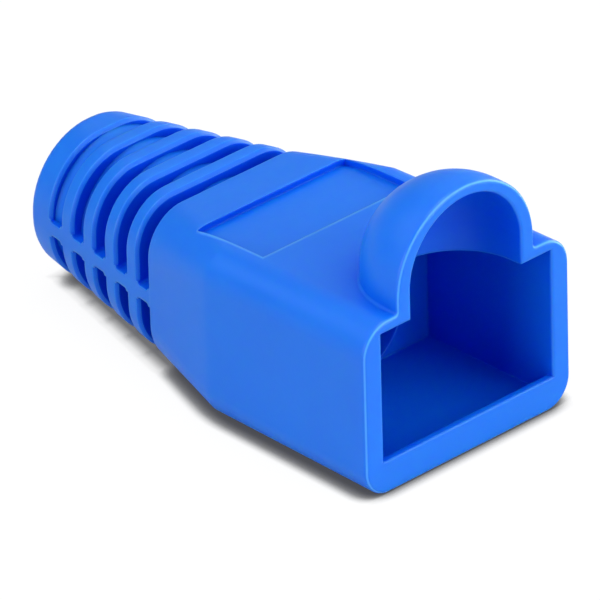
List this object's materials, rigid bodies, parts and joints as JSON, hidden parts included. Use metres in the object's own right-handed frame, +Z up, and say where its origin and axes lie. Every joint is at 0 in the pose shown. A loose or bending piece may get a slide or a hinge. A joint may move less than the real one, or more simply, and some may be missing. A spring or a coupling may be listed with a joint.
{
  "type": "rj45 strain relief boot",
  "caption": "Soft one-piece boot for a modular network plug: open mouth with a hood over the latch, recessed label field on the roof and a slotted, ringed tail that holds the cable.",
  "frame": {"origin": "centre of the bounding box, on the flat underside that the boot rests on", "axes": "+X from the cable end towards the open mouth, +Z up from the flat underside towards the hood, +Y to the left when looking along +X"},
  "size_m": [0.028, 0.0142, 0.0152],
  "materials": {
    "soft_pvc": "satin moulded soft PVC, bright blue"
  },
  "bodies": {
    "root": {"boot": "soft_pvc"}
  },
  "joints": []
}
